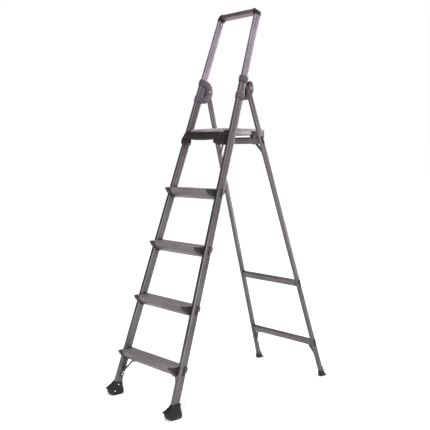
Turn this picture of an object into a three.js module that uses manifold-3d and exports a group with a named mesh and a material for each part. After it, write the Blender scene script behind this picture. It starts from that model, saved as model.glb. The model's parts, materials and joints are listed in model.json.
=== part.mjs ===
// A platform step ladder: two leaning stiles that carry four treads and a guard rail, a rear frame
// hinged behind them, and a deck that swings up between the stiles when the ladder is folded.
// Millimetres. +Z is up, +X is the climber's right and +Y runs from the climber to the rear frame.
import * as THREE from "three";
import { mergeVertices } from "three/addons/utils/BufferGeometryUtils.js";
import Module from "manifold-3d";

const wasm = await Module();
wasm.setup();

// ---------------------------------------------------------------- driving dimensions

const GAP = 0.3; // clearance between pieces that touch
const CORNER_STEPS = 2; // half the number of facets on each rounded corner
const ROUND_SIDES = 24; // facets round a pin
const LAP = 1; // how far joined shapes run into one another
const CLEAR = 60; // how far a solid that only cuts stands past what it cuts

// Heights and leans
const TREAD_COUNT = 4;
const FIRST_RISE = 209; // floor to the top of the first tread
const RISE = 250; // tread to tread
const PLATFORM_LIFT = 24; // deck surface above the level of a fifth tread
const HINGE_LIFT = 184; // deck surface to the hinge pin
const GUARD_LIFT = 553; // deck surface to the top of the guard rail
const FRONT_LEAN = 0.33; // rearward travel of a stile per unit of height
const REAR_LEAN = 0.313; // forward travel of a rear leg per unit of height
const FRONT_TAPER = 0.053; // inward travel of a stile per unit of height
const REAR_TAPER = 0.059; // inward travel of a rear leg per unit of height
const FRONT_HALF_WIDTH = 219.5; // middle of the ladder to a stile's centre line, on the floor
const HINGE_SETBACK = 40.5; // stile centre line to the hinge pin, measured level

// Stiles and guard rail
const STILE_WIDTH = 22;
const STILE_DEPTH = 36;
const STILE_RADIUS = 6;
const STILE_WALL = 1.6;
const STILE_FOOT = 22; // height of a stile's lower end above the floor
const POST_CLEARANCE = 0.3; // guard post inside the stile
const POST_WALL = 1.6;
const POST_OVERLAP = 110; // length of guard post held inside the stile
const GUARD_BAR_HEIGHT = 22;
const GUARD_CORNER_RADIUS = 25;
const GUARD_CORNER_REACH = 8.5; // corner piece beyond the post's inner face and the bar's underside
const CORNER_PROUD = 0.6; // corner piece beyond the faces of the tubes
const SPIGOT_LENGTH = 24; // plug of a corner piece, cap or knuckle inside its tube

// Treads
const TREAD_BACK = 25; // centre line of the stile to the tread's rear edge
const TREAD_NOSE = 52; // centre line of the stile to the tread's front edge
const TREAD_DEPTH = 48; // top surface to the underside
const TREAD_REAR_LIP = 14;
const TREAD_SOLE_HALF = 8; // half the flat strip under a tread
const TREAD_NOSE_RADIUS = 4;
const TREAD_BELLY = { back: 6, lift: 20 }; // bulge of the underside: behind the nose, above the sole
const TREAD_WALL = 2.4;
const GROOVE_COUNT = 7;
const GROOVE_DEPTH = 1.4;
const GROOVE_PITCH = 9;
const GROOVE_WIDTH = 4.4;
const GROOVE_INSET = 8; // tread's rear edge to the middle of the first groove
const CAP_WALL = 2;
const CAP_END_WALL = 3;
const CAP_NOSE_LENGTH = 20; // length of cap that covers the tread's nose
const CAP_NOSE_BACK = 8; // how far behind the nose that length reaches
const CAP_SHOULDER = 4; // length of cap that covers the rest of the tread's end
const TONGUE_WIDTH = 13;
const TONGUE_HEIGHT = 38;
const TONGUE_OFFSET = 3; // tongue behind the stile's centre line
const TONGUE_TOP = 3; // tongue above the tread's top
const TONGUE_PROUD = 0.9;
const TAB_THICKNESS = 4;
const TAB_HEIGHT = 22;
const TAB_DROP = 4; // tread's top to the top of the tab behind the stile

// Hinges
const COLLAR_HEIGHT = 27;
const COLLAR_SPACING = 82; // middle of one collar to the middle of the other
const COLLAR_WALL = 3;
const COLLAR_RADIUS = 8;
const CHEEK_GAP = 0.6; // running clearance of the knuckle between the cheeks
const CHEEK_REACH = 24; // hinge pin to the rear of the cheeks
const CHEEK_ROOT = 14; // how far the cheeks reach forward into the collars
const CHEEK_MOUTH = 8; // width of the opening between the stile and the inner cheek
const CHEEK_SLOT = 9.5; // width of the slot between the stile and the outer cheek
const CHEEK_WEB = { back: 30, depth: 10, low: 30, high: 42 }; // block that joins the cheeks' tops
const PIN_RADIUS = 5;
const PIN_HEAD_RADIUS = 8.5;
const PIN_HEAD = 2.4;
const PIN_HEAD_GAP = 0.9;
const PIN_RUNNING_GAP = 0.35;
const KNUCKLE_RADIUS = 14.5;

// Rear frame
const LEG_WIDTH = 18;
const LEG_DEPTH = 23;
const LEG_RADIUS = 5;
const LEG_WALL = 1.5;
const LEG_FOOT = 20; // height of a rear leg's lower end above the floor
const BAR_HEIGHT = 29;
const BAR_DEPTH = 20;
const BAR_RADIUS = 3;
const BAR_WALL = 1.5;
const LOWER_BAR = 178; // floor to the middle of the lower bar
const MIDDLE_BAR = 485;
const UPPER_BAR_DROP = 54; // deck surface to the middle of the upper bar
const BAR_FLANGE = 3; // end piece between a bar and its leg
const BAR_TONGUE_WIDTH = 14;
const BAR_TONGUE_HEIGHT = 34;
const BAR_TONGUE_OFFSET = 1.5;
const BAR_TONGUE_ROOT = 1.5; // tongue's inner end inside the bar's end piece

// Braces
const BRACE_THICKNESS = 2.5;
const BRACE_WIDTH = 14;
const BRACE_FLANGE = 24;
const FRONT_BRACE = { span: 36, drop: 52, setback: 6 }; // setback: behind the stile's centre line
const LOWER_BRACE = { span: 24, drop: 46 };
const UPPER_BRACE = { span: 30, drop: 42 };

// Feet
const FRONT_FOOT_HALF = 26.5; // half the greatest width of a front foot
const FRONT_FOOT_TOE = 37; // centre line of the stile, on the floor, to the tip of the toe
const FRONT_FOOT_HEEL = 41;
const FRONT_FOOT_HEIGHT = 60;
const FRONT_FOOT_LIP = 30; // height of the toe's lip
const FOOT_WALL = 3;
const REAR_FOOT_HEEL = 24;
const REAR_FOOT_HEIGHT = 22;
const REAR_FOOT_APEX = 50; // height of the strut behind a rear foot
const REAR_STRUT_WIDTH = 6;
const REAR_STRUT_WALL = 3.2;
const REAR_WINDOW_TOP = 36; // height of the opening between the strut and the leg

// Platform
const DECK_SIDE_CLEARANCE = 3.5; // deck to the hinge pins' heads, which it passes when folded
const DECK_REAR_OVERHANG = 32.5; // hooks to the deck's rear edge
const STUD_PITCH = 15;
const STUD_HEIGHT = 5;
const STUD_BASE = 10;
const STUD_TOP = 6;
const DECK_PLATE = 6;
const DECK_EDGE = 5; // plain border round the studs
const DECK_LIP = 17; // height of the lip turned down at the deck's rear edge
const DECK_TAB = { height: 29, width: 14 }; // deeper ends of that lip
const DECK_LIP_THICKNESS = 4;
const DECK_FRONT_OVERHANG = 6; // deck plate in front of the pivot pin
const RAIL_WIDTH = 13;
const RAIL_HEIGHT = 16;
const RAIL_WEB = 2.4;
const RAIL_SETBACK = 8; // deck's rear edge to the rail's end
const RAIL_END_WEB = 12; // solid length at the rail's rear end
const PIVOT_RADIUS = 4;
const PIVOT_HEAD_RADIUS = 6.5;
const PIVOT_HEAD = 1.8;
const PIVOT_HEAD_GAP = 0.7; // head to the rail's inner face
const PIVOT_INSET = 1.5; // pin's outer end to the stile's inner face
const PIVOT_FORWARD = 8.5; // pivot pin in front of the stile's centre line
const MOULDING_FRONT = 59; // front of the moulding before the stile's centre line, at deck level
const MOULDING_DEPTH = 21;
const MOULDING_OVERHANG = 11; // moulding beyond the deck's edge, on each side
const MOULDING_CORNER = 20; // radius of its upper corners
const MOULDING_DROP = 16; // deck surface to the moulding's top
const MOULDING_HEIGHT = 38; // at the middle of its bowed lower edge
const MOULDING_BOW = 10;
const MOULDING_WALL = 3;
const MOULDING_BEVEL = 4;
const BRACKET_DROP = 76; // deck surface to the underside of a bracket
const BRACKET_HEIGHT = 48;
const BRACKET_NOSE = 2; // bracket in front of the moulding
const BRACKET_REACH = 38; // lip under the moulding, inward from the deck's edge
const BRACKET_LIP = 12; // depth of that lip
const BRACKET_BACK = 12; // bracket behind the pivot pin
const BRACKET_WAIST = { setback: 6.5, height: 28 }; // its lower part ends before the pivot pin
const HOOK_SEAT = 34; // length of the seat over the upper bar
const HOOK_WALL = 2;
const HOOK_LIP = 9; // lips below the seat on the upper bar
const HOOK_LIP_LENGTH = 6;
const HOOK_SLACK = 6; // front lip to the upper bar
const HOOK_CHAMFER = 2;

// ---------------------------------------------------------------- derived places

const DECK_TOP = FIRST_RISE + TREAD_COUNT * RISE + PLATFORM_LIFT;
const HINGE_HEIGHT = DECK_TOP + HINGE_LIFT;
const GUARD_TOP = DECK_TOP + GUARD_LIFT;
const HINGE_Y = FRONT_LEAN * HINGE_HEIGHT + HINGE_SETBACK;
const REAR_FOOT_Y = HINGE_Y + REAR_LEAN * HINGE_HEIGHT;
// Height of the stile's centre line where a line square to it reaches the hinge pin.
const HINGE_FOOT = HINGE_HEIGHT + HINGE_SETBACK * FRONT_LEAN / (1 + FRONT_LEAN ** 2);
const HINGE_X = FRONT_HALF_WIDTH - FRONT_TAPER * HINGE_FOOT;
const LEG_OFFSET = (STILE_WIDTH - LEG_WIDTH) / 2; // brings the inner faces of leg and stile into line
const REAR_HALF_WIDTH = HINGE_X - LEG_OFFSET + REAR_TAPER * HINGE_HEIGHT;
const POST_WIDTH = STILE_WIDTH - 2 * (STILE_WALL + POST_CLEARANCE);
const POST_DEPTH = STILE_DEPTH - 2 * (STILE_WALL + POST_CLEARANCE);
const POST_RADIUS = STILE_RADIUS - STILE_WALL - POST_CLEARANCE;
const HINGE_INNER = HINGE_X - STILE_WIDTH / 2 - COLLAR_WALL - PIN_HEAD_GAP - PIN_HEAD;
const DECK_HALF_WIDTH = HINGE_INNER - DECK_SIDE_CLEARANCE;
const MOULDING_HALF_WIDTH = DECK_HALF_WIDTH + MOULDING_OVERHANG;
const RAIL_TOP = DECK_TOP - STUD_HEIGHT - DECK_PLATE - GAP;
const PIVOT_HEIGHT = RAIL_TOP - RAIL_HEIGHT / 2;
const PIVOT_Y = FRONT_LEAN * PIVOT_HEIGHT - PIVOT_FORWARD;
const UPPER_BAR = DECK_TOP - UPPER_BAR_DROP;
const SIDES = [["left", -1], ["right", 1]];

// ---------------------------------------------------------------- finishes

const finish = (color, roughness, metalness) => () => (
  new THREE.MeshStandardMaterial({ color, roughness, metalness })
);
const stileMetal = finish(0x8d868b, 0.42, 0.75);
const treadMetal = finish(0x8f8a88, 0.5, 0.7);
const rearMetal = finish(0x89827f, 0.45, 0.75);
const steel = finish(0xb9b7b5, 0.3, 0.95);
const blackPlastic = finish(0x2e2826, 0.6, 0);
const hingePlastic = finish(0x5d545c, 0.55, 0);
const rubber = finish(0x272120, 0.85, 0);

// ---------------------------------------------------------------- solids

// A closed three.js geometry as a solid that can be joined and cut.
function solidOf(geometry, matrix = new THREE.Matrix4()) {
  const bare = geometry.clone();
  bare.deleteAttribute("normal");
  bare.deleteAttribute("uv");
  const merged = mergeVertices(bare.applyMatrix4(matrix), 1e-3);
  return new wasm.Manifold(new wasm.Mesh({
    numProp: 3,
    vertProperties: Float32Array.from(merged.attributes.position.array),
    triVerts: Uint32Array.from(merged.index.array),
  }));
}

function geometryOf(solid) {
  const mesh = solid.getMesh();
  const geometry = new THREE.BufferGeometry();
  geometry.setAttribute("position", new THREE.BufferAttribute(mesh.vertProperties, 3));
  geometry.setIndex(new THREE.BufferAttribute(mesh.triVerts, 1));
  const faceted = geometry.toNonIndexed();
  faceted.computeVertexNormals();
  return faceted;
}

const join = (...geometries) => geometryOf(
  geometries.map((geometry) => solidOf(geometry)).reduce((whole, piece) => whole.add(piece)),
);

const cut = (geometry, ...tools) => geometryOf(
  tools.reduce((solid, tool) => solid.subtract(solidOf(tool)), solidOf(geometry)),
);

const common = (a, b) => geometryOf(solidOf(a).intersect(solidOf(b)));

// A geometry moved from one group's frame into another's.
function carried(geometry, from, to) {
  const matrix = to.matrix.clone().invert().multiply(from.matrix);
  return geometry.clone().applyMatrix4(matrix);
}

// ---------------------------------------------------------------- outlines

const point = (x, y) => new THREE.Vector2(x, y);

function roundedRect(width, depth, radius) {
  const shape = new THREE.Shape();
  const x = width / 2 - radius;
  const y = depth / 2 - radius;
  const centres = [[x, y], [-x, y], [-x, -y], [x, -y]];
  centres.forEach(([cx, cy], quarter) => {
    shape.absarc(cx, cy, radius, quarter * Math.PI / 2, (quarter + 1) * Math.PI / 2);
  });
  return shape;
}

// Moves every edge of an anticlockwise outline inwards; a negative distance lets it grow.
function inset(points, distance) {
  return points.map((here, i) => {
    const before = points.at(i - 1);
    const after = points[(i + 1) % points.length];
    const arriving = here.clone().sub(before).normalize();
    const leaving = after.clone().sub(here).normalize();
    const inward = point(-arriving.y - leaving.y, arriving.x + leaving.x);
    return here.clone().addScaledVector(inward, 2 * distance / inward.lengthSq());
  });
}

// Both sides of a bent strip whose one face follows the given points.
function strip(points, thickness) {
  const offset = points.map((here, i) => {
    const before = points[Math.max(i - 1, 0)];
    const after = points[Math.min(i + 1, points.length - 1)];
    const arriving = (i ? here.clone().sub(before) : after.clone().sub(here)).normalize();
    const leaving = (here === after ? here.clone().sub(before) : after.clone().sub(here)).normalize();
    const across = point(-arriving.y - leaving.y, arriving.x + leaving.x);
    return here.clone().addScaledVector(across, 2 * thickness / across.lengthSq());
  });
  return new THREE.Shape([...points, ...offset.reverse()]);
}

// ---------------------------------------------------------------- extrusions

const ACROSS = new THREE.Matrix4().makeBasis(
  new THREE.Vector3(0, 1, 0), new THREE.Vector3(0, 0, 1), new THREE.Vector3(1, 0, 0),
);
const REARWARD = new THREE.Matrix4().makeBasis(
  new THREE.Vector3(1, 0, 0), new THREE.Vector3(0, 0, 1), new THREE.Vector3(0, -1, 0),
);

function extrude(shape, length, options = {}) {
  const settings = { depth: length, bevelEnabled: false, curveSegments: CORNER_STEPS, ...options };
  return new THREE.ExtrudeGeometry(shape, settings);
}

// A shape drawn in (y, z), from x = start to x = end.
const alongX = (shape, start, end, options) => (
  extrude(shape, end - start, options).translate(0, 0, start).applyMatrix4(ACROSS)
);

// A shape drawn in (x, z), from y = start to y = end.
const alongY = (shape, start, end, options) => (
  extrude(shape, end - start, options).translate(0, 0, -end).applyMatrix4(REARWARD)
);

function box(x, y, z) {
  const geometry = new THREE.BoxGeometry(x[1] - x[0], y[1] - y[0], z[1] - z[0]);
  return geometry.translate((x[0] + x[1]) / 2, (y[0] + y[1]) / 2, (z[0] + z[1]) / 2);
}

function tube(width, depth, radius, wall, start, end) {
  const section = roundedRect(width, depth, radius);
  section.holes.push(roundedRect(width - 2 * wall, depth - 2 * wall, Math.max(radius - wall, 0.5)));
  return extrude(section, end - start).translate(0, 0, start);
}

const bar = (width, depth, radius, start, end) => (
  extrude(roundedRect(width, depth, radius), end - start).translate(0, 0, start)
);

const pin = (radius, start, end) => {
  const geometry = new THREE.CylinderGeometry(radius, radius, end - start, ROUND_SIDES);
  return geometry.rotateZ(Math.PI / 2).translate((start + end) / 2, 0, 0);
};

// A skin over rounded rectangles stacked in height, closed at both ends.
function loft(levels) {
  const rings = levels.map(({ z, half, front, back, radius }) => {
    const outline = roundedRect(2 * half, back - front, radius).getPoints(CORNER_STEPS);
    const open = outline.filter((here, i) => here.distanceTo(outline.at(i - 1)) > 0.01);
    return open.map(({ x, y }) => [x, y + (front + back) / 2, z]);
  });
  const count = rings[0].length;
  const index = [];
  for (let level = 0; level < rings.length - 1; level += 1) {
    for (let i = 0; i < count; i += 1) {
      const low = level * count + i;
      const lowNext = level * count + (i + 1) % count;
      index.push(low, lowNext, lowNext + count, low, lowNext + count, low + count);
    }
  }
  const last = (rings.length - 1) * count;
  for (let i = 1; i < count - 1; i += 1) {
    index.push(0, i + 1, i, last, last + i, last + i + 1);
  }
  const geometry = new THREE.BufferGeometry();
  geometry.setAttribute("position", new THREE.Float32BufferAttribute(rings.flat(2), 3));
  geometry.setIndex(index);
  return geometry;
}

// Leans a geometry so that it keeps its place on a stile at every height.
const leaned = (geometry) => (
  geometry.applyMatrix4(new THREE.Matrix4().makeShear(0, 0, 0, 0, 0, FRONT_LEAN))
);

// ---------------------------------------------------------------- assembly helpers

const ladder = new THREE.Group();

function add(group, name, geometry, material) {
  const mesh = new THREE.Mesh(geometry, material());
  mesh.name = name;
  group.add(mesh);
  return mesh;
}

// A group that stands on the floor and follows a leaning leg: its Z axis is the leg's centre line,
// its Y axis points to the rear, square to the leg.
function legFrame(side, halfWidth, y, taper, lean) {
  const up = new THREE.Vector3(-side * taper, lean, 1).normalize();
  const across = new THREE.Vector3(1, 0, 0).addScaledVector(up, -up.x).normalize();
  const rearward = new THREE.Vector3().crossVectors(up, across);
  const group = new THREE.Group();
  group.applyMatrix4(new THREE.Matrix4().makeBasis(across, rearward, up));
  group.position.set(side * halfWidth, y, 0);
  group.updateMatrix();
  ladder.add(group);
  const along = (height) => height / up.z;
  return { side, group, along };
}

function level(x, y, z) {
  const group = new THREE.Group();
  group.position.set(x, y, z);
  group.updateMatrix();
  ladder.add(group);
  return group;
}

// A group square to the plane of two leaning legs, with its origin between them.
function planeFrame(y, z, lean) {
  const group = level(0, y, z);
  group.rotation.x = -Math.atan(lean);
  group.updateMatrix();
  return group;
}

const stileX = (height) => FRONT_HALF_WIDTH - FRONT_TAPER * height;
const stileY = (height) => FRONT_LEAN * height;
const legX = (height) => REAR_HALF_WIDTH - REAR_TAPER * height;
const legY = (height) => REAR_FOOT_Y - REAR_LEAN * height;

// Solids that leave room for a stile, a guard post or a rear leg in its neighbours.
const stileRoom = (start, end) => (
  bar(STILE_WIDTH + 2 * GAP, STILE_DEPTH + 2 * GAP, STILE_RADIUS + GAP, start, end)
);
const postRoom = (start, end) => (
  bar(POST_WIDTH + 2 * GAP, POST_DEPTH + 2 * GAP, POST_RADIUS + GAP, start, end)
);
const legRoom = (start, end) => (
  bar(LEG_WIDTH + 2 * GAP, LEG_DEPTH + 2 * GAP, LEG_RADIUS + GAP, start, end)
);

// ---------------------------------------------------------------- treads

function treadOutline() {
  const shape = new THREE.Shape();
  shape.moveTo(TREAD_BACK, 0);
  shape.lineTo(TREAD_NOSE_RADIUS - TREAD_NOSE, 0);
  shape.quadraticCurveTo(-TREAD_NOSE, 0, -TREAD_NOSE, -TREAD_NOSE_RADIUS);
  shape.quadraticCurveTo(TREAD_BELLY.back - TREAD_NOSE, TREAD_BELLY.lift - TREAD_DEPTH,
    -TREAD_SOLE_HALF, -TREAD_DEPTH);
  shape.lineTo(TREAD_SOLE_HALF, -TREAD_DEPTH);
  shape.lineTo(TREAD_BACK, -TREAD_REAR_LIP);
  return shape.getPoints(6).slice(0, -1);
}

function treadHalfLength(height) {
  return stileX(height) - STILE_WIDTH / 2 - GAP - CAP_END_WALL;
}

function treadGeometry(height) {
  const outline = treadOutline();
  const section = new THREE.Shape(outline);
  section.holes.push(new THREE.Path(inset(outline, TREAD_WALL + GROOVE_DEPTH / 2)));
  const half = treadHalfLength(height);
  const solid = alongX(section, -half, half);
  const grooves = [];
  for (let i = 0; i < GROOVE_COUNT; i += 1) {
    const middle = TREAD_BACK - GROOVE_INSET - GROOVE_PITCH * i;
    const span = [middle - GROOVE_WIDTH / 2, middle + GROOVE_WIDTH / 2];
    grooves.push(box([-half - LAP, half + LAP], span, [-GROOVE_DEPTH, GROOVE_DEPTH]));
  }
  return cut(solid, ...grooves);
}

// Tongue that locks a tread's cap through the stile; extra makes the slot that it fits, which
// also runs out past the tongue's end.
function tongueGeometry(height, side, extra) {
  const inner = side * (treadHalfLength(height) + GAP + LAP);
  const outer = side * (stileX(height - TONGUE_HEIGHT) + STILE_WIDTH / 2 + TONGUE_PROUD + 4 * extra);
  const span = [Math.min(inner, outer), Math.max(inner, outer)];
  const width = TONGUE_WIDTH / 2 + extra;
  const solid = box(span, [TONGUE_OFFSET - width, TONGUE_OFFSET + width],
    [TONGUE_TOP - TONGUE_HEIGHT - extra, TONGUE_TOP + extra]);
  return leaned(solid);
}

// Removes what a tongue or tab would show beyond a plane parallel to the stile's outer face.
function outsideStile(stile, group, proud) {
  const face = STILE_WIDTH / 2 + proud;
  const span = stile.side > 0 ? [face, face + CLEAR] : [-face - CLEAR, -face];
  const slab = box(span, [-STILE_DEPTH, STILE_DEPTH], [-CLEAR, stile.along(GUARD_TOP)]);
  return carried(slab, stile.group, group);
}

function treadCapGeometry(stile, group, height) {
  const { side } = stile;
  const end = treadHalfLength(height);
  const outline = new THREE.Shape(inset(treadOutline(), -CAP_WALL));
  const start = end - CAP_NOSE_LENGTH;
  const far = stileX(height) + STILE_WIDTH;
  const mirrored = (near, away) => (side > 0 ? [near, away] : [-away, -near]);
  const shell = alongX(outline, ...mirrored(start, far));
  const nose = -TREAD_NOSE - CAP_WALL - LAP;
  const heel = TREAD_BACK + CAP_WALL + LAP;
  const shoulder = end - CAP_SHOULDER;
  const plan = new THREE.Shape([
    point(side * start, nose), point(side * start, CAP_NOSE_BACK - TREAD_NOSE),
    point(side * shoulder, -TREAD_SOLE_HALF), point(side * shoulder, heel),
    point(side * far, heel), point(side * far, nose),
  ]);
  const block = extrude(plan, TREAD_DEPTH + 2 * CAP_WALL).translate(0, 0, -TREAD_DEPTH - 2 * CAP_WALL);
  const treadRoom = alongX(new THREE.Shape(inset(treadOutline(), -GAP)), -end - GAP, end + GAP);
  const outer = box(mirrored(stileX(height) - 3, far + CLEAR), [-2 * CLEAR, 2 * CLEAR],
    [-2 * CLEAR, 2 * CLEAR]);
  const room = carried(stileRoom(-CLEAR, stile.along(GUARD_TOP)), stile.group, group);
  const body = cut(common(shell, block), treadRoom, room, outer);
  const rearFace = (STILE_DEPTH / 2 + GAP) * Math.hypot(1, FRONT_LEAN);
  const tab = leaned(box(mirrored(end + GAP, stileX(height) + STILE_WIDTH / 2 - 2),
    [rearFace + GAP, rearFace + TAB_THICKNESS], [-TAB_DROP - TAB_HEIGHT, -TAB_DROP]));
  const tongue = cut(tongueGeometry(height, side, 0), outsideStile(stile, group, TONGUE_PROUD));
  return join(body, cut(tab, room), tongue);
}

// ---------------------------------------------------------------- stiles and guard rail

function addStile(stile, word) {
  const top = HINGE_HEIGHT + COLLAR_SPACING / 2;
  const slots = treadLevels.map(({ group, height }) => (
    carried(tongueGeometry(height, stile.side, GAP), group, stile.group)
  ));
  const whole = tube(STILE_WIDTH, STILE_DEPTH, STILE_RADIUS, STILE_WALL, stile.along(STILE_FOOT),
    stile.along(top));
  add(stile.group, `front_stile_${word}`, cut(whole, ...slots), stileMetal);
}

// The post's square end clears the corner piece across its whole width.
const POST_DROP = GUARD_BAR_HEIGHT + GUARD_CORNER_REACH + POST_WIDTH / 2 * FRONT_TAPER;
const POST_TOP = GUARD_TOP - POST_DROP * Math.cos(Math.atan(FRONT_LEAN));

function addGuardPost(stile, word) {
  const start = stile.along(HINGE_HEIGHT + COLLAR_SPACING / 2 - POST_OVERLAP);
  const post = tube(POST_WIDTH, POST_DEPTH, POST_RADIUS, POST_WALL, start, stile.along(POST_TOP));
  add(stile.group, `guard_post_${word}`, post, stileMetal);
}

// The corner pieces and the bar share a frame whose origin is the middle of the bar's top.
function addGuardTop() {
  const frame = planeFrame(stileY(GUARD_TOP), GUARD_TOP, FRONT_LEAN);
  const slope = FRONT_TAPER / Math.hypot(1, FRONT_LEAN);
  const postX = (w) => stileX(GUARD_TOP) - slope * w;
  const low = -GUARD_BAR_HEIGHT - GUARD_CORNER_REACH + GAP;
  const barHalf = postX(-GUARD_BAR_HEIGHT) - POST_WIDTH / 2 - GUARD_CORNER_REACH;
  const depth = POST_DEPTH / 2 + CORNER_PROUD;
  const rail = tube(GUARD_BAR_HEIGHT, POST_DEPTH, POST_RADIUS, POST_WALL, -barHalf, barHalf);
  const across = rail.rotateY(Math.PI / 2).translate(0, 0, -GUARD_BAR_HEIGHT / 2);
  add(frame, "guard_top_bar", across, stileMetal);
  for (const [word, side] of SIDES) {
    const outerX = (w) => postX(w) + POST_WIDTH / 2 + CORNER_PROUD;
    const innerX = (w) => postX(w) - POST_WIDTH / 2;
    const radius = GUARD_CORNER_RADIUS;
    const corner = new THREE.Shape();
    corner.moveTo(barHalf + GAP, CORNER_PROUD);
    corner.lineTo(outerX(0) - radius, CORNER_PROUD);
    corner.absarc(outerX(0) - radius, CORNER_PROUD - radius, radius, Math.PI / 2, 0, true);
    corner.lineTo(outerX(low), low);
    corner.lineTo(innerX(low), low);
    corner.lineTo(innerX(-GUARD_BAR_HEIGHT), -GUARD_BAR_HEIGHT);
    corner.lineTo(barHalf + GAP, -GUARD_BAR_HEIGHT);
    const body = alongY(corner, -depth, depth, { curveSegments: 2 * CORNER_STEPS });
    const inner = POST_WALL + GAP;
    const plug = bar(GUARD_BAR_HEIGHT - 2 * inner, POST_DEPTH - 2 * inner, POST_RADIUS - inner + 1,
      barHalf - SPIGOT_LENGTH, barHalf + GUARD_CORNER_REACH + 2);
    const intoBar = plug.rotateY(Math.PI / 2).translate(0, 0, -GUARD_BAR_HEIGHT / 2);
    const down = bar(POST_WIDTH - 2 * inner, POST_DEPTH - 2 * inner, POST_RADIUS - inner + 1,
      low - SPIGOT_LENGTH, low + 3);
    const tilt = new THREE.Matrix4().makeShear(0, 0, 0, 0, -slope, 0);
    const intoPost = down.applyMatrix4(tilt).translate(stileX(GUARD_TOP), 0, 0);
    const whole = join(body, intoBar, intoPost);
    const placed = side > 0 ? whole : mirror(whole);
    add(frame, `guard_corner_${word}`, placed, blackPlastic);
  }
}

// The left-hand twin of a right-hand piece.
function mirror(geometry) {
  const mirrored = geometry.clone().scale(-1, 1, 1);
  const { array } = mirrored.attributes.position;
  for (let i = 0; i < array.length; i += 9) {
    for (let k = 0; k < 3; k += 1) {
      [array[i + 3 + k], array[i + 6 + k]] = [array[i + 6 + k], array[i + 3 + k]];
    }
  }
  mirrored.computeVertexNormals();
  return mirrored;
}

// ---------------------------------------------------------------- hinges

// Side view of a cheek, in the stile's frame with its origin at the hinge's height.
function cheekOutline() {
  const half = (COLLAR_SPACING + COLLAR_HEIGHT) / 2;
  const inner = (COLLAR_SPACING - COLLAR_HEIGHT) / 2;
  const back = STILE_DEPTH / 2 + COLLAR_WALL;
  const front = back - CHEEK_ROOT;
  const setback = HINGE_SETBACK / Math.hypot(1, FRONT_LEAN);
  const sagitta = setback + CHEEK_REACH - back;
  const radius = (half * half + sagitta * sagitta) / (2 * sagitta);
  const angle = Math.asin(half / radius);
  const mouth = STILE_DEPTH / 2 + CHEEK_MOUTH;
  const shoulder = inner - CHEEK_MOUTH / 2;
  const shape = new THREE.Shape();
  shape.moveTo(front, -half);
  shape.absarc(back + sagitta - radius, 0, radius, -angle, angle);
  shape.lineTo(front, half);
  shape.lineTo(front, inner);
  shape.quadraticCurveTo(mouth - 1, shoulder, mouth, 0);
  shape.quadraticCurveTo(mouth - 1, -shoulder, front, -inner);
  return shape;
}

// The outer cheek is cut off behind the stile; a web above the knuckle joins it to the inner one.
function cheekGeometries(side, x) {
  const face = STILE_WIDTH / 2 + CHEEK_GAP;
  const fine = { curveSegments: 4 * CORNER_STEPS };
  const slot = STILE_DEPTH / 2 + CHEEK_SLOT;
  const across = (near, far) => (side > 0 ? [near, far] : [-far, -near]);
  const inner = alongX(cheekOutline(), ...across(-x, -face), fine);
  const outer = alongX(cheekOutline(), ...across(face, x), fine);
  const { back, depth, low, high } = CHEEK_WEB;
  const front = box([-2 * x, 2 * x], [0, slot], [-COLLAR_SPACING, COLLAR_SPACING]);
  const crown = box([-2 * x, 2 * x], [0, CLEAR], [high, COLLAR_SPACING]);
  const web = box([LAP - x, x - LAP], [back, back + depth], [low, high]);
  return [inner, cut(outer, front, crown), web];
}

function addHinge(stile, word) {
  const { group } = stile;
  const middle = stile.along(HINGE_HEIGHT);
  const x = STILE_WIDTH / 2 + COLLAR_WALL;
  const y = STILE_DEPTH / 2 + COLLAR_WALL;
  const collars = [-1, 1].map((end) => {
    const centre = middle + end * COLLAR_SPACING / 2;
    return bar(2 * x, 2 * y, COLLAR_RADIUS, centre - COLLAR_HEIGHT / 2, centre + COLLAR_HEIGHT / 2);
  });
  const plates = cheekGeometries(stile.side, x).map((piece) => piece.translate(0, 0, middle));
  const top = stile.along(HINGE_HEIGHT + COLLAR_SPACING / 2) + GAP;
  const hinge = hingeLevel[word];
  const bore = carried(pin(PIN_RADIUS + PIN_RUNNING_GAP, -CLEAR, CLEAR), hinge, group);
  const bracket = cut(join(...collars, ...plates), stileRoom(0, top), postRoom(0, 2 * top), bore);
  add(group, `hinge_bracket_${word}`, bracket, hingePlastic);
  const reach = x + PIN_HEAD_GAP;
  const shank = pin(PIN_RADIUS, -reach - LAP, reach + LAP);
  const heads = [-1, 1].map((end) => {
    const middleOfHead = end * (reach + PIN_HEAD / 2);
    return pin(PIN_HEAD_RADIUS, middleOfHead - PIN_HEAD / 2, middleOfHead + PIN_HEAD / 2);
  });
  add(hinge, `hinge_pin_${word}`, join(shank, ...heads), steel);
}

// ---------------------------------------------------------------- feet

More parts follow.
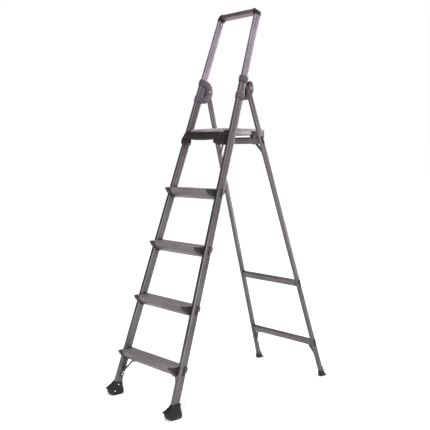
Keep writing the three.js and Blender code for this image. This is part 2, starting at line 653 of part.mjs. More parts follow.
function addFrontFoot(stile, word) {
  const { side, group } = stile;
  const foot = level(side * FRONT_HALF_WIDTH, 0, 0);
  const half = FRONT_FOOT_HALF;
  const top = FRONT_FOOT_HEIGHT;
  const lip = FRONT_FOOT_LIP;
  const reach = (STILE_DEPTH / 2 + FOOT_WALL) * Math.hypot(1, FRONT_LEAN);
  const neck = STILE_WIDTH / 2 + FOOT_WALL;
  const lean = stileY(top);
  const toe = -FRONT_FOOT_TOE;
  const heel = FRONT_FOOT_HEEL;
  const levels = [
    { z: 0, half: half - 7, front: toe + 23, back: heel - 5, radius: 7 },
    { z: 4, half: half - 3, front: toe + 15, back: heel - 1, radius: 9 },
    { z: 12, half: half - 1, front: toe + 11, back: heel, radius: 10 },
    { z: lip - 3, half: half - 0.5, front: toe + 8, back: heel - 2, radius: 10 },
    { z: lip - 1, half, front: toe + 1, back: heel - 2, radius: 12 },
    { z: lip + 2, half: half - 1, front: toe, back: heel - 2, radius: 12 },
    { z: lip + 6, half: half - 5, front: toe + 9, back: heel - 3, radius: 9 },
    { z: top - 8, half: neck + 1.5, front: lean - reach - 5, back: lean + reach - 2, radius: 8 },
    { z: top, half: neck, front: lean - reach, back: lean + reach, radius: 8 },
  ];
  const room = carried(stileRoom(stile.along(STILE_FOOT) - GAP, stile.along(RISE)), group, foot);
  add(foot, `front_foot_${word}`, cut(loft(levels), room), rubber);
}

function addRearFoot(leg, word) {
  const { side, group } = leg;
  const foot = level(side * REAR_HALF_WIDTH, REAR_FOOT_Y, 0);
  const reach = (LEG_DEPTH / 2 + FOOT_WALL) * Math.hypot(1, REAR_LEAN);
  const half = LEG_WIDTH / 2 + FOOT_WALL;
  const top = REAR_FOOT_HEIGHT;
  const lean = -REAR_LEAN * top;
  const heel = REAR_FOOT_HEEL;
  const shoulder = top / 2;
  const levels = [
    { z: 0, half, front: -reach, back: heel - 2, radius: 4 },
    { z: 3, half: half + 1, front: -reach - 1.5, back: heel, radius: 5 },
    { z: 7, half: half + 0.6, front: -reach - 2, back: heel - 2, radius: 5 },
    { z: shoulder, half, front: -reach - 1, back: reach - REAR_LEAN * shoulder, radius: 5 },
    { z: top, half, front: lean - reach, back: lean + reach, radius: 5 },
  ];
  const face = (z) => (LEG_DEPTH / 2 + 2 * GAP) * Math.hypot(1, REAR_LEAN) - REAR_LEAN * z;
  const wall = REAR_STRUT_WALL;
  const apex = REAR_FOOT_APEX;
  const strut = new THREE.Shape([
    point(heel - 1 - 2 * wall, 4), point(heel - 1, 4), point(face(apex) + wall, apex),
    point(face(apex), apex), point(face(REAR_WINDOW_TOP), REAR_WINDOW_TOP),
    point(heel - 2 - 2 * wall, shoulder),
  ]);
  const plate = alongX(strut, -REAR_STRUT_WIDTH / 2, REAR_STRUT_WIDTH / 2);
  const room = carried(legRoom(leg.along(LEG_FOOT) - GAP, leg.along(RISE)), group, foot);
  add(foot, `rear_foot_${word}`, cut(join(loft(levels), plate), room), rubber);
}

// ---------------------------------------------------------------- rear frame

// Tongue of a bar's end piece through its leg; extra makes the slot that it fits.
function barTongue({ side }, height, extra) {
  const start = legX(height) - LEG_WIDTH / 2 - BAR_TONGUE_ROOT - extra;
  const end = legX(height) + LEG_WIDTH;
  const y = BAR_TONGUE_WIDTH / 2 + extra;
  const z = BAR_TONGUE_HEIGHT / 2 + extra;
  const span = side > 0 ? [start, end] : [-end, -start];
  return box(span, [BAR_TONGUE_OFFSET - y, BAR_TONGUE_OFFSET + y], [-z, z]);
}

const barHalfLength = (height) => (
  legX(height + BAR_HEIGHT / 2) - LEG_WIDTH / 2 - GAP - BAR_FLANGE
);

function addRearBar(word, height) {
  const frame = planeFrame(legY(height), height, -REAR_LEAN);
  const half = barHalfLength(height);
  const whole = tube(BAR_HEIGHT, BAR_DEPTH, BAR_RADIUS, BAR_WALL, -half, half);
  add(frame, `rear_bar_${word}`, whole.rotateY(Math.PI / 2), rearMetal);
  for (const leg of rearLegs) {
    const sideWord = leg.side > 0 ? "right" : "left";
    const inner = BAR_WALL + GAP;
    const spigot = bar(BAR_HEIGHT - 2 * inner, BAR_DEPTH - 2 * inner, BAR_RADIUS - inner,
      half - SPIGOT_LENGTH, half + LAP);
    const flange = bar(BAR_HEIGHT, BAR_DEPTH, BAR_RADIUS, half + GAP, half + 3 * BAR_FLANGE);
    const plug = join(spigot, flange).rotateY(Math.PI / 2);
    const placed = leg.side > 0 ? plug : mirror(plug);
    const room = carried(legRoom(-CLEAR, leg.along(HINGE_HEIGHT)), leg.group, frame);
    const tongue = cut(barTongue(leg, height, 0), outsideLeg(leg, frame));
    add(frame, `rear_bar_end_${word}_${sideWord}`, join(cut(placed, room), tongue), blackPlastic);
  }
  return frame;
}

function outsideLeg(leg, frame) {
  const face = LEG_WIDTH / 2 + TONGUE_PROUD;
  const span = leg.side > 0 ? [face, face + CLEAR] : [-face - CLEAR, -face];
  const slab = box(span, [-LEG_DEPTH, LEG_DEPTH], [-CLEAR, leg.along(HINGE_HEIGHT)]);
  return carried(slab, leg.group, frame);
}

function addRearLeg(leg, word) {
  const { group } = leg;
  const hinge = hingeLevel[word];
  const top = leg.along(HINGE_HEIGHT) - KNUCKLE_RADIUS - 4;
  const slots = Object.values(barHeights).map((height) => {
    const frame = planeFrame(legY(height), height, -REAR_LEAN);
    ladder.remove(frame);
    return carried(barTongue(leg, height, GAP), frame, group);
  });
  const whole = tube(LEG_WIDTH, LEG_DEPTH, LEG_RADIUS, LEG_WALL, leg.along(LEG_FOOT), top);
  add(group, `rear_leg_${word}`, cut(whole, ...slots), rearMetal);
  const half = STILE_WIDTH / 2 - KNUCKLE_RADIUS * FRONT_TAPER;
  const barrel = carried(pin(KNUCKLE_RADIUS, -half, half), hinge, group);
  const shoulder = bar(LEG_WIDTH, LEG_DEPTH, LEG_RADIUS, top + GAP, leg.along(HINGE_HEIGHT));
  const inner = LEG_WALL + GAP;
  const spigot = bar(LEG_WIDTH - 2 * inner, LEG_DEPTH - 2 * inner, LEG_RADIUS - inner,
    top - SPIGOT_LENGTH, top + 2);
  const bore = carried(pin(PIN_RADIUS + PIN_RUNNING_GAP, -CLEAR, CLEAR), hinge, group);
  add(group, `rear_hinge_knuckle_${word}`, cut(join(barrel, shoulder, spigot), bore), hingePlastic);
}

// ---------------------------------------------------------------- braces

// A strap from under a crosspiece to the inner face of a leg; x runs outwards, z up from the
// crosspiece's underside, and faceX gives the leg's inner face at any z.
function strapShape(faceX, { span, drop }) {
  const bend = faceX(-drop) - GAP;
  const foot = -drop - BRACE_FLANGE;
  return strip([
    point(bend - span - BRACE_FLANGE, -GAP),
    point(bend - span, -GAP),
    point(bend, -drop),
    point(faceX(foot) - GAP, foot),
  ], -BRACE_THICKNESS);
}

function addFrontBraces() {
  const height = FIRST_RISE - TREAD_DEPTH - CAP_WALL;
  const faceX = (z) => stileX(height + z) - STILE_WIDTH / 2 - 2 * GAP;
  const frame = level(0, stileY(FIRST_RISE), height);
  const foot = stileY(height - FRONT_BRACE.drop) + FRONT_BRACE.setback;
  const lean = (stileY(FIRST_RISE) - foot) / FRONT_BRACE.drop;
  const shear = new THREE.Matrix4().makeShear(0, 0, 0, 0, 0, lean);
  for (const [word, side] of SIDES) {
    const strap = alongY(strapShape(faceX, FRONT_BRACE), -BRACE_WIDTH / 2, BRACE_WIDTH / 2);
    const faceted = geometryOf(solidOf(strap, shear));
    add(frame, `front_brace_${word}`, side > 0 ? faceted : mirror(faceted), rearMetal);
  }
}

function addRearBraces(word, frame, height, size) {
  const slope = REAR_TAPER / Math.hypot(1, REAR_LEAN);
  const faceX = (z) => legX(height) - slope * (z - BAR_HEIGHT / 2) - LEG_WIDTH / 2 - GAP;
  for (const [sideWord, side] of SIDES) {
    const strap = alongY(strapShape(faceX, size), -BRACE_WIDTH / 2, BRACE_WIDTH / 2);
    const faceted = geometryOf(solidOf(strap.translate(0, 0, -BAR_HEIGHT / 2)));
    add(frame, `rear_${word}_brace_${sideWord}`, side > 0 ? faceted : mirror(faceted), rearMetal);
  }
}

// ---------------------------------------------------------------- platform

// Front of the platform: a bowed moulding between two brackets on the stiles' inner faces.
function mouldingOutline(grow) {
  const half = MOULDING_HALF_WIDTH + grow;
  const top = -MOULDING_DROP + grow;
  const bottom = -MOULDING_DROP - MOULDING_HEIGHT - grow;
  const corner = half - MOULDING_CORNER;
  const shape = new THREE.Shape();
  shape.moveTo(half, top - MOULDING_CORNER);
  shape.absarc(corner, top - MOULDING_CORNER, MOULDING_CORNER, 0, Math.PI / 2);
  shape.lineTo(-corner, top);
  shape.absarc(-corner, top - MOULDING_CORNER, MOULDING_CORNER, Math.PI / 2, Math.PI);
  shape.lineTo(-half, bottom + MOULDING_BOW);
  shape.quadraticCurveTo(0, bottom - MOULDING_BOW, half, bottom + MOULDING_BOW);
  const points = shape.getPoints(6);
  return points.filter((here, i) => here.distanceTo(points.at(i - 1)) > 0.01);
}

function mouldingGeometry(front) {
  const outline = mouldingOutline(0);
  const bevel = MOULDING_BEVEL;
  const body = alongY(new THREE.Shape(inset(outline, bevel)), front + bevel, front + 2 * MOULDING_DEPTH, {
    bevelEnabled: true, bevelSize: bevel, bevelThickness: bevel, bevelSegments: 3,
  });
  const behind = box([-2 * DECK_HALF_WIDTH, 2 * DECK_HALF_WIDTH],
    [front + MOULDING_DEPTH, front + 4 * MOULDING_DEPTH], [-4 * CLEAR, 4 * CLEAR]);
  const pocket = alongY(new THREE.Shape(inset(outline, 2 * MOULDING_WALL)),
    front + 2 * MOULDING_WALL, front + 2 * MOULDING_DEPTH);
  return cut(body, behind, pocket);
}

// A wall on the stile's inner face that carries the pivot pin, with a lip under the moulding.
function bracketGeometry(stile, group, moulding) {
  const { side } = stile;
  const front = moulding - BRACKET_NOSE;
  const bottom = -BRACKET_DROP;
  const top = bottom + BRACKET_HEIGHT;
  const wall = DECK_HALF_WIDTH + 2 * GAP;
  const inner = wall - BRACKET_REACH;
  const outer = stileX(DECK_TOP) + STILE_WIDTH / 2;
  const pinY = PIVOT_Y - stileY(DECK_TOP);
  const pinZ = PIVOT_HEIGHT - DECK_TOP;
  const back = pinY + BRACKET_BACK;
  const waist = pinY - BRACKET_WAIST.setback;
  const ear = 2 * PIVOT_RADIUS + 1;
  const profile = new THREE.Shape([
    point(front, top / 2 + bottom / 2), point(front - 1, bottom + 10), point(front + 8, bottom),
    point(waist, bottom), point(waist, bottom + BRACKET_WAIST.height), point(back, top),
    point(back, pinZ + ear), point(pinY - BRACKET_BACK, pinZ + ear), point(pinY - 20, top),
    point(front + 18, top),
    point(front + 7, top - 8),
  ]);
  const lipView = new THREE.Shape([
    point(wall + 1, bottom), point(wall + 1, bottom + 26), point(inner, bottom + 28),
    point(inner, bottom + 10), point(inner + 20, bottom + 3),
  ]);
  const lip = alongY(lipView, front, front + BRACKET_LIP);
  const block = join(alongX(profile, wall, outer), lip);
  const placed = side > 0 ? block : mirror(block);
  const room = alongY(new THREE.Shape(mouldingOutline(GAP)), moulding - MOULDING_DEPTH,
    moulding + MOULDING_DEPTH + GAP);
  const stileSpace = carried(stileRoom(-CLEAR, stile.along(GUARD_TOP)), stile.group, group);
  const beyond = side > 0 ? [-STILE_WIDTH / 2, CLEAR] : [-CLEAR, STILE_WIDTH / 2];
  const slab = box(beyond, [-2 * CLEAR, 2 * CLEAR], [-CLEAR, stile.along(GUARD_TOP)]);
  const outside = carried(slab, stile.group, group);
  const bore = pin(PIVOT_RADIUS + GAP, -outer, outer).translate(0, pinY, pinZ);
  return cut(placed, room, stileSpace, outside, bore);
}

function addPlatformFront() {
  const frame = level(0, stileY(DECK_TOP), DECK_TOP);
  const front = -MOULDING_FRONT;
  add(frame, "platform_front_moulding", mouldingGeometry(front), blackPlastic);
  for (const stile of stiles) {
    const word = stile.side > 0 ? "right" : "left";
    add(frame, `platform_bracket_${word}`, bracketGeometry(stile, frame, front), blackPlastic);
  }
}

// Rows of teeth, drawn in one plane, that stand on a thin base; two combs crossed make studs.
function comb(start, end, base) {
  const length = end - start - 2 * DECK_EDGE - STUD_BASE;
  const count = Math.round(length / STUD_PITCH) + 1;
  const pitch = length / (count - 1);
  const outline = [point(start, base - LAP), point(end, base - LAP), point(end, base)];
  for (let i = count - 1; i >= 0; i -= 1) {
    const middle = start + DECK_EDGE + STUD_BASE / 2 + i * pitch;
    outline.push(point(middle + STUD_BASE / 2, base), point(middle + STUD_TOP / 2, base + STUD_HEIGHT));
    outline.push(point(middle - STUD_TOP / 2, base + STUD_HEIGHT), point(middle - STUD_BASE / 2, base));
  }
  outline.push(point(start, base));
  return new THREE.Shape(outline);
}

// The deck's own frame has its origin on the pivot pins' axis.
function addDeck() {
  const frame = level(0, PIVOT_Y, PIVOT_HEIGHT);
  const bottom = RAIL_TOP + GAP - PIVOT_HEIGHT;
  const base = bottom + DECK_PLATE;
  const half = DECK_HALF_WIDTH;
  const span = [-DECK_FRONT_OVERHANG, deckLength()];
  const plate = box([-half, half], span, [bottom, base - LAP / 2]);
  const studs = common(alongY(comb(-half, half, base), ...span), alongX(comb(...span, base), -half, half));
  const lip = box([-half, half], [deckLength() - DECK_LIP_THICKNESS, deckLength()],
    [bottom - DECK_LIP, bottom + LAP]);
  const tabs = SIDES.map(([, side]) => {
    const across = side > 0 ? [half - DECK_TAB.width, half] : [-half, DECK_TAB.width - half];
    return box(across, [deckLength() - DECK_LIP_THICKNESS, deckLength()],
      [bottom - DECK_TAB.height, bottom + LAP]);
  });
  add(frame, "platform_deck", join(plate, studs, lip, ...tabs), hingePlastic);
  for (const [word, side] of SIDES) {
    addDeckSide(frame, word, side);
  }
}

// Pivot pins to the hooks' front lip, and to the deck's rear edge.
const hookStart = () => upperBarFront() - HOOK_SLACK - PIVOT_Y;
const deckLength = () => hookStart() + HOOK_SEAT + HOOK_LIP_LENGTH + DECK_REAR_OVERHANG;

function railOutline(shrink) {
  const radius = RAIL_HEIGHT / 2 - shrink;
  const shape = new THREE.Shape();
  shape.absarc(0, 0, radius, Math.PI / 2, 1.5 * Math.PI);
  shape.lineTo(deckLength() - RAIL_SETBACK - shrink, -radius);
  shape.lineTo(deckLength() - RAIL_SETBACK - shrink, radius);
  return shape;
}

function addDeckSide(frame, word, side) {
  const outer = DECK_HALF_WIDTH - HOOK_WALL;
  const inner = outer - RAIL_WIDTH;
  const mirrored = (geometry) => (side > 0 ? geometry : mirror(geometry));
  const fine = { curveSegments: 4 * CORNER_STEPS };
  const radius = RAIL_HEIGHT / 2;
  const solid = alongX(railOutline(0), inner, outer, fine);
  const pocket = box([inner - LAP, outer - RAIL_WEB],
    [2 * radius, deckLength() - RAIL_SETBACK - RAIL_END_WEB], [RAIL_WEB - radius, radius - RAIL_WEB]);
  const bore = pin(PIVOT_RADIUS + PIN_RUNNING_GAP, inner - LAP, outer + LAP);
  add(frame, `platform_rail_${word}`, mirrored(cut(solid, pocket, bore)), treadMetal);
  const seat = upperBarTop() + GAP - PIVOT_HEIGHT;
  const lip = seat - HOOK_LIP;
  const frontLip = hookStart();
  const rearLip = frontLip + HOOK_SEAT;
  const [start, stop] = [frontLip - HOOK_LIP_LENGTH, rearLip + HOOK_LIP_LENGTH];
  const chamfer = HOOK_CHAMFER;
  const hook = new THREE.Shape([
    point(start, radius), point(start, lip + chamfer), point(start + chamfer, lip),
    point(frontLip, lip), point(frontLip + chamfer, seat), point(rearLip - chamfer, seat),
    point(rearLip, lip + chamfer), point(stop, lip + chamfer), point(stop, radius),
  ]);
  const body = alongX(hook, inner - HOOK_WALL, outer + HOOK_WALL);
  const room = alongX(railOutline(-GAP), inner - GAP, outer + GAP, fine);
  const top = box([inner - CLEAR, outer + CLEAR], [start - LAP, stop + LAP], [radius, radius + CLEAR]);
  add(frame, `platform_hook_${word}`, mirrored(cut(body, room, top)), blackPlastic);
  const tip = inner - PIVOT_HEAD_GAP;
  const end = stileX(PIVOT_HEIGHT) - STILE_WIDTH / 2 - PIVOT_INSET;
  const shank = pin(PIVOT_RADIUS, tip - LAP, end);
  const head = pin(PIVOT_HEAD_RADIUS, tip - PIVOT_HEAD, tip);
  add(frame, `platform_pivot_pin_${word}`, mirrored(join(shank, head)), steel);
}

// Highest and foremost places of the upper bar's top edge, in the ladder's frame.
function upperBarTop() {
  const tilt = Math.atan(REAR_LEAN);
  return UPPER_BAR + BAR_HEIGHT / 2 * Math.cos(tilt) + BAR_DEPTH / 2 * Math.sin(tilt);
}

function upperBarFront() {
  const tilt = Math.atan(REAR_LEAN);
  return legY(UPPER_BAR) - BAR_HEIGHT / 2 * Math.sin(tilt) - BAR_DEPTH / 2 * Math.cos(tilt);
}

// ---------------------------------------------------------------- the ladder

const stiles = SIDES.map(([, side]) => legFrame(side, FRONT_HALF_WIDTH, 0, FRONT_TAPER, FRONT_LEAN));
const rearLegs = SIDES.map(([, side]) => (
  legFrame(side, REAR_HALF_WIDTH, REAR_FOOT_Y, REAR_TAPER, -REAR_LEAN)
));
const hingeLevel = Object.fromEntries(SIDES.map(([word, side]) => (
  [word, level(side * HINGE_X, HINGE_Y, HINGE_HEIGHT)]
)));
const barHeights = { lower: LOWER_BAR, middle: MIDDLE_BAR, upper: UPPER_BAR };
const treadLevels = Array.from({ length: TREAD_COUNT }, (_, i) => {
  const height = FIRST_RISE + i * RISE;
  return { height, group: level(0, stileY(height), height) };
});

treadLevels.forEach(({ height, group }, i) => {
  add(group, `tread_${i + 1}`, treadGeometry(height), treadMetal);
  for (const stile of stiles) {
    const word = stile.side > 0 ? "right" : "left";
    const cap = treadCapGeometry(stile, group, height);
    add(group, `tread_cap_${i + 1}_${word}`, cap, blackPlastic);
  }
});

SIDES.forEach(([word], i) => {
  addStile(stiles[i], word);
  addGuardPost(stiles[i], word);
  addHinge(stiles[i], word);
  addFrontFoot(stiles[i], word);
  addRearLeg(rearLegs[i], word);
  addRearFoot(rearLegs[i], word);
});
addGuardTop();
addFrontBraces();
const barFrames = Object.fromEntries(Object.entries(barHeights).map(([word, height]) => (
  [word, addRearBar(word, height)]
)));
addRearBraces("lower", barFrames.lower, LOWER_BAR, LOWER_BRACE);
addRearBraces("upper", barFrames.upper, UPPER_BAR, UPPER_BRACE);
addPlatformFront();
addDeck();

// The origin is on the floor, in the middle of the ladder's footprint.
const bounds = new THREE.Box3().setFromObject(ladder);
ladder.position.set(0, -(bounds.min.y + bounds.max.y) / 2, -bounds.min.z);

export default ladder;
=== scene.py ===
# %% [markdown]
# # A platform step ladder
# The solids of the ladder come from its CAD model and are already in place, in metres. This lesson
# gives them finishes, rounds their edges, and adds the small parts that the CAD model leaves out:
# the rivets, and the teeth on the treads' ridges. The CAD model is the only thing read.

# %% Load the frame
import math
import json
import bmesh
import bpy
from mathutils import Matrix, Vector
from mathutils.bvhtree import BVHTree


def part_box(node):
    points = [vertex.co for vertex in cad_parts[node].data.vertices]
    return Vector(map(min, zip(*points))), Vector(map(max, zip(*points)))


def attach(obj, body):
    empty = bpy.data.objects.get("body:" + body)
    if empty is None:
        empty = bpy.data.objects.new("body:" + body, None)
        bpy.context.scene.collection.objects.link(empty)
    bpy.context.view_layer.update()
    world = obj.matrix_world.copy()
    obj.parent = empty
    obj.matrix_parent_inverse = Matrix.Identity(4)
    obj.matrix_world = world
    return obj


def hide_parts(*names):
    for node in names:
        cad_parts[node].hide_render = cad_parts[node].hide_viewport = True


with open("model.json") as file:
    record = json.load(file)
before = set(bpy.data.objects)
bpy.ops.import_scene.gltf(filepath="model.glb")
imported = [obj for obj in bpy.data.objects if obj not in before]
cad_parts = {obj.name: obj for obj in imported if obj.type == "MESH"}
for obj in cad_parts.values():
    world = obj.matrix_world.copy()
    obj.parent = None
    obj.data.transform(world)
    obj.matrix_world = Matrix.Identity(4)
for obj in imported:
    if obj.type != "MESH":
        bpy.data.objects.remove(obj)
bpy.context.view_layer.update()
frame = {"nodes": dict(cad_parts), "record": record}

# %% [markdown]
# Every material below is arithmetic on a few noise patterns. Python can do arithmetic on sockets if a
# small class overloads the operators, so that `1 - mask` adds a Math node and reads like a formula.

# %% Arithmetic on sockets
NOISE_ROUGHNESS = 0.55
Y, Z = 1, 2  # outputs of a node that separates a vector


class Value:
    """A number that varies over a surface, held by a node's output socket."""

    def __init__(self, shop, socket):
        self.shop = shop
        self.socket = socket

    def math(self, operation, *operands):
        return self.shop.node("ShaderNodeMath", {"operation": operation},
                              {i: v for i, v in enumerate(operands)})

    def __add__(self, other):
        return self.math("ADD", self, other)

    def __sub__(self, other):
        return self.math("SUBTRACT", self, other)

    def __rsub__(self, other):
        return self.math("SUBTRACT", other, self)

    def __mul__(self, other):
        return self.math("MULTIPLY", self, other)

    __radd__ = __add__
    __rmul__ = __mul__

    def clamp(self):
        return self.shop.node("ShaderNodeClamp", {}, {0: self})

    def step(self, low, high):
        """0 below low, 1 above high and a smooth ramp between them."""
        settings = {"interpolation_type": "SMOOTHSTEP"}
        return self.shop.node("ShaderNodeMapRange", settings, {0: self, 1: low, 2: high})


class Shop:
    """Makes the nodes of one material."""

    def __init__(self, name):
        self.material = bpy.data.materials.new(name)
        self.material.use_nodes = True
        self.tree = self.material.node_tree
        self.shader = self.tree.nodes["Principled BSDF"]
        self.place = self.node("ShaderNodeTexCoord", {}, {}, "Object")

    def node(self, kind, settings, inputs, output=0):
        """Adds a node, sets it up, fills its sockets and returns one of its outputs."""
        node = self.tree.nodes.new(kind)
        for key, setting in settings.items():
            setattr(node, key, setting)
        for key, given in inputs.items():
            self.fill(node.inputs[key], given)
        return Value(self, node.outputs[output])

    def fill(self, socket, given):
        if isinstance(given, Value):
            self.tree.links.new(given.socket, socket)
        else:
            socket.default_value = given

    def noise(self, scale, stretch=(1, 1, 1), detail=2):
        """Noise of about scale bumps per metre, drawn out where stretch is small."""
        size = tuple(scale * s for s in stretch)
        spot = self.node("ShaderNodeMapping", {}, {"Vector": self.place, "Scale": size})
        inputs = {"Vector": spot, "Scale": 1.0, "Detail": detail, "Roughness": NOISE_ROUGHNESS}
        return self.node("ShaderNodeTexNoise", {}, inputs)

    def mix(self, factor, low, high):
        """A colour between two others."""
        settings = {"data_type": "RGBA"}
        return self.node("ShaderNodeMix", settings, {0: factor, 6: low, 7: high}, 2)

    def part(self, vector, axis):
        """The Y or Z part of a vector."""
        return self.node("ShaderNodeSeparateXYZ", {}, {0: vector}, axis)

    def normal(self):
        return self.node("ShaderNodeNewGeometry", {}, {}, "True Normal")

    def bump(self, height, strength, distance, under=None):
        inputs = {"Height": height, "Strength": strength, "Distance": distance}
        if under is not None:
            inputs["Normal"] = under
        return self.node("ShaderNodeBump", {}, inputs)

    def edges(self, reach):
        """1 along edges and 0 on flats, from the angle between the normal and its mean within reach."""
        wide = self.node("ShaderNodeBevel", {"samples": 6}, {"Radius": reach})
        sharp = self.node("ShaderNodeNewGeometry", {}, {}, "Normal")
        product = self.node("ShaderNodeVectorMath", {"operation": "DOT_PRODUCT"}, {0: wide, 1: sharp}, 1)
        return 1 - product.step(0.78, 0.99)

    def finish(self, **sockets):
        for key, given in sockets.items():
            self.fill(self.shader.inputs[key.replace("_", " ")], given)
        return self.material


def linear(red, green, blue):
    """A colour given as eight-bit sRGB, as the linear values that shaders use."""
    channels = [c / 255 for c in (red, green, blue)]
    return tuple(c / 12.92 if c <= 0.04045 else ((c + 0.055) / 1.055) ** 2.4 for c in channels) + (1.0,)


def shade(colour, factor, lift=0.0):
    """A darker or paler version of a colour."""
    return tuple(min(1, factor * c + lift) for c in colour[:3]) + (1.0,)


print("socket arithmetic ready")

# %% [markdown]
# The tubes are extruded aluminium with a thin anodised skin. Drawing leaves faint lines along the
# tube, handling leaves cloudy patches, and the skin is a little worn at the corners. The drawing
# lines are noise stretched along the tube. Each family of tubes lies along its own direction, so the
# same recipe is run with a different stretch for each.
#
# Two things are optional. A faint violet cast is painted light: it is mixed in by height, stronger in the
# upper tubes, which catch more light. The treads' grooves get painted shade: the grooves repeat across
# the tread and follow the lean of the stiles from one tread to the next, so folding the distance across
# them gives a dark line in each. Faces that point up are painted paler, a painted highlight, and only
# they get the dark lines.

# %% Anodised aluminium
ANODISED = 0.82  # how metallic the anodised skin is, where 1 is bare metal
WEAR_REACH = 0.0012  # how far wear spreads from an edge, in metres
MARK_DEPTH = 0.0002  # drawing lines, specks and the marks on steel


def drawn_metal(name, colour, stretch, rough, grooves=None, painted_light_tint=None):
    """Brushed metal. Grooves: pitch, offset and lean of dark lines of painted shade along X. Painted
    light: colour mixed in high up.
    """
    shop = Shop(name)
    lines = shop.noise(900, stretch)
    clouds = shop.noise(9, detail=4)
    specks = shop.noise(420)
    dull = shade(colour, 0.80)
    bright = shade(colour, 1.16)
    tone = (0.5 * clouds + 0.5 * lines).step(0.34, 0.66)
    worn = shop.edges(WEAR_REACH) * specks.step(0.42, 0.62)
    pale = shade(colour, 1.7)
    skin = shop.mix(worn * 0.6, shop.mix(tone, dull, bright), pale)
    # Painted light: the upper tubes are mixed towards a paler violet by height, as if lit more strongly
    # up there.
    if painted_light_tint:
        high = shop.part(shop.place, Z)
        skin = shop.mix(high.step(0.3, 1.35) * 0.5, skin, painted_light_tint)
    if grooves:
        pitch, offset, lean = grooves
        y = shop.part(shop.place, Y)
        z = shop.part(shop.place, Z)
        across = y - lean * z - offset  # rearward distance from the middle of the first groove
        fold = across.math("PINGPONG", across, pitch / 2)
        upward = shop.part(shop.normal(), Z)
        flat = upward.step(0.6, 0.9)
        # Painted highlight and painted shade: faces that point up are made pale as if lit from above, and
        # each groove gets a dark line of painted shade.
        groove_shade = (1 - fold.step(0.28 * pitch, 0.34 * pitch)) * flat
        skin = shop.mix(flat * 0.9, skin, linear(196, 192, 190))
        skin = shop.mix(groove_shade * (0.85 + 0.15 * specks), skin, linear(12, 11, 10))
    gloss = rough + 0.10 * (clouds - 0.5) + 0.14 * (lines - 0.5) - 0.08 * worn
    relief = shop.bump(lines, 0.12, MARK_DEPTH, shop.bump(specks, 0.05, MARK_DEPTH))
    return shop.finish(Base_Color=skin, Roughness=gloss.clamp(), Metallic=ANODISED, Normal=relief)


FRONT_LEAN = 0.33  # rearward travel of a stile, and of the treads on it, per unit of height
GROOVE_PITCH = 0.009
FIRST_GROOVE = 0.008  # tread's rear edge to the middle of its first groove
UPRIGHT = (1, 1, 0.02)
ACROSS = (0.02, 1, 1)
# Painted light: this violet is mixed into the upper stiles and legs for the light that they catch higher
# up.
violet = linear(104, 97, 105)
stile_metal = drawn_metal("stile aluminium", linear(90, 88, 87), UPRIGHT, 0.33, painted_light_tint=violet)
# Painted light: the guard posts are the same aluminium as the stiles, given a paler colour for the
# stronger light up high.
post_metal_painted_light = drawn_metal("guard rail aluminium", linear(142, 132, 142), UPRIGHT, 0.40)
top_metal = drawn_metal("top rail aluminium", linear(112, 102, 108), ACROSS, 0.42)
tread_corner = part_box("tread_1")[1]
tread_y = tread_corner.y - FRONT_LEAN * tread_corner.z
tread_metal = drawn_metal("tread aluminium", linear(106, 103, 102), ACROSS, 0.5,
                          grooves=(GROOVE_PITCH, tread_y - FIRST_GROOVE, FRONT_LEAN))
rail_metal = drawn_metal("deck rail aluminium", linear(150, 144, 150), ACROSS, 0.48)
leg_metal = drawn_metal("rear leg aluminium", linear(84, 82, 81), UPRIGHT, 0.38, painted_light_tint=violet)
bar_metal = drawn_metal("rear bar aluminium", linear(98, 94, 96), ACROSS, 0.46)
strap_metal = drawn_metal("strap steel", linear(70, 64, 62), (1, 1, 1), 0.48)
print("metals:", stile_metal.name, post_metal_painted_light.name, tread_metal.name, leg_metal.name)

# %% [markdown]
# The caps, brackets, hinges and boots are moulded. Polyamide keeps the fine grain of its mould and
# shows pale scuffs on its corners; the rubber of the boots is duller, with a coarser grain and dust
# near the floor.

# %% Moulded plastic and rubber
SCUFF_REACH = 0.0016
GRAIN_DEPTH = 0.0003
DUST_HEIGHT = 0.03  # dust reaches this far above the floor


def moulded(name, colour, rough, grain, dust=0.0):
    shop = Shop(name)
    fine = shop.noise(grain)
    clouds = shop.noise(14, detail=4)
    deep = shade(colour, 0.78)
    raised = shade(colour, 1.22)
    scuffed = shade(colour, 2.1, 0.01)
    scuff = shop.edges(SCUFF_REACH) * shop.noise(160, detail=3).step(0.45, 0.7)
    mottled = shop.mix((0.6 * clouds + 0.4 * fine).step(0.35, 0.65), deep, raised)
    skin = shop.mix(scuff * 0.5, mottled, scuffed)
    if dust:
        height = shop.part(shop.place, Z)
        low = (1 - height.step(0.0, DUST_HEIGHT)) * clouds.step(0.35, 0.75)
        skin = shop.mix(low * dust, skin, linear(120, 112, 104))
    gloss = rough + 0.12 * (clouds - 0.5) + 0.10 * (fine - 0.5)
    relief = shop.bump(fine, 0.25, GRAIN_DEPTH)
    return shop.finish(Base_Color=skin, Roughness=gloss.clamp(), Normal=relief, Specular_IOR_Level=0.28)


black_plastic = moulded("black polyamide", linear(28, 22, 21), 0.5, 1400)
hinge_plastic = moulded("grey polyamide", linear(70, 59, 67), 0.5, 1400)
deck_plastic = moulded("deck polyamide", linear(142, 134, 140), 0.55, 1200)
boot_rubber = moulded("boot rubber", linear(15, 11, 9), 0.66, 900, dust=0.15)
print("moulded finishes:", black_plastic.name, hinge_plastic.name, boot_rubber.name)

# %% [markdown]
# Pins and rivets are steel. The rivets are plated and bright; the pins have the grey of zinc that has
# been handled. Fine marks and a few stains are enough at their size.

